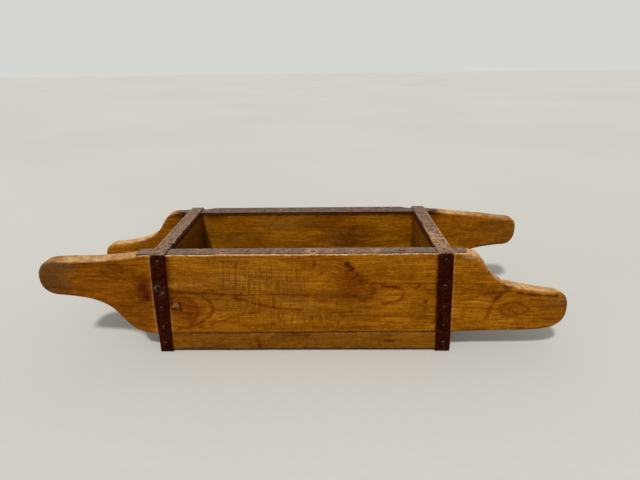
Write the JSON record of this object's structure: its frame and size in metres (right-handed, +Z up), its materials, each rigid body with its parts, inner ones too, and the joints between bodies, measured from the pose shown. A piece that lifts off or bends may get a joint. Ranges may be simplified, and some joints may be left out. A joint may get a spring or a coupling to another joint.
{
  "type": "mould box",
  "caption": "Open-topped wooden mould box with two carved carrying handles at each end, bound with nailed hoop iron; forms one block of clay or other soft stuff at a time.",
  "frame": {"origin": "middle of the whole object, on the surface that its bands stand on", "axes": "+X along the box and its handles, +Y from the front side board to the back one, +Z up out of the cavity"},
  "size_m": [0.52, 0.161, 0.1088],
  "materials": {
    "side_wood": "oiled honey-brown hardwood, worn pale on its edges",
    "end_wood": "oiled brown hardwood, darker inside the box",
    "base_wood": "dull olive-brown hardwood",
    "hoop_iron": "pitted, rusted and handled hoop iron",
    "nail_iron": "hammered wrought nails"
  },
  "bodies": {
    "root": {"front_side_board": "side_wood", "back_side_board": "side_wood", "left_end_board": "end_wood", "right_end_board": "end_wood", "base_board": "base_wood", "front_rim_strap": "hoop_iron", "back_rim_strap": "hoop_iron", "left_band": "hoop_iron", "right_band": "hoop_iron", "front_left_band_nail_1": "nail_iron", "front_left_band_nail_2": "nail_iron", "front_left_band_nail_3": "nail_iron", "front_left_band_nail_4": "nail_iron", "front_left_band_nail_5": "nail_iron", "front_right_band_nail_1": "nail_iron", "front_right_band_nail_2": "nail_iron", "front_right_band_nail_3": "nail_iron", "front_right_band_nail_4": "nail_iron", "front_right_band_nail_5": "nail_iron", "back_left_band_nail_1": "nail_iron", "back_left_band_nail_2": "nail_iron", "back_left_band_nail_3": "nail_iron", "back_left_band_nail_4": "nail_iron", "back_left_band_nail_5": "nail_iron", "back_right_band_nail_1": "nail_iron", "back_right_band_nail_2": "nail_iron", "back_right_band_nail_3": "nail_iron", "back_right_band_nail_4": "nail_iron", "back_right_band_nail_5": "nail_iron", "left_band_top_nail_1": "nail_iron", "left_band_top_nail_2": "nail_iron", "left_band_top_nail_3": "nail_iron", "right_band_top_nail_1": "nail_iron", "right_band_top_nail_2": "nail_iron", "right_band_top_nail_3": "nail_iron", "front_rim_nail_1": "nail_iron", "front_rim_nail_2": "nail_iron", "front_rim_nail_3": "nail_iron", "front_rim_nail_4": "nail_iron", "front_rim_nail_5": "nail_iron", "front_rim_nail_6": "nail_iron", "front_rim_nail_7": "nail_iron", "front_rim_nail_8": "nail_iron", "front_rim_nail_9": "nail_iron", "front_rim_nail_10": "nail_iron", "front_rim_nail_11": "nail_iron", "front_rim_nail_12": "nail_iron", "back_rim_nail_1": "nail_iron", "back_rim_nail_2": "nail_iron", "back_rim_nail_3": "nail_iron", "back_rim_nail_4": "nail_iron", "back_rim_nail_5": "nail_iron", "back_rim_nail_6": "nail_iron", "back_rim_nail_7": "nail_iron", "back_rim_nail_8": "nail_iron", "back_rim_nail_9": "nail_iron", "back_rim_nail_10": "nail_iron", "back_rim_nail_11": "nail_iron", "back_rim_nail_12": "nail_iron"}
  },
  "joints": []
}
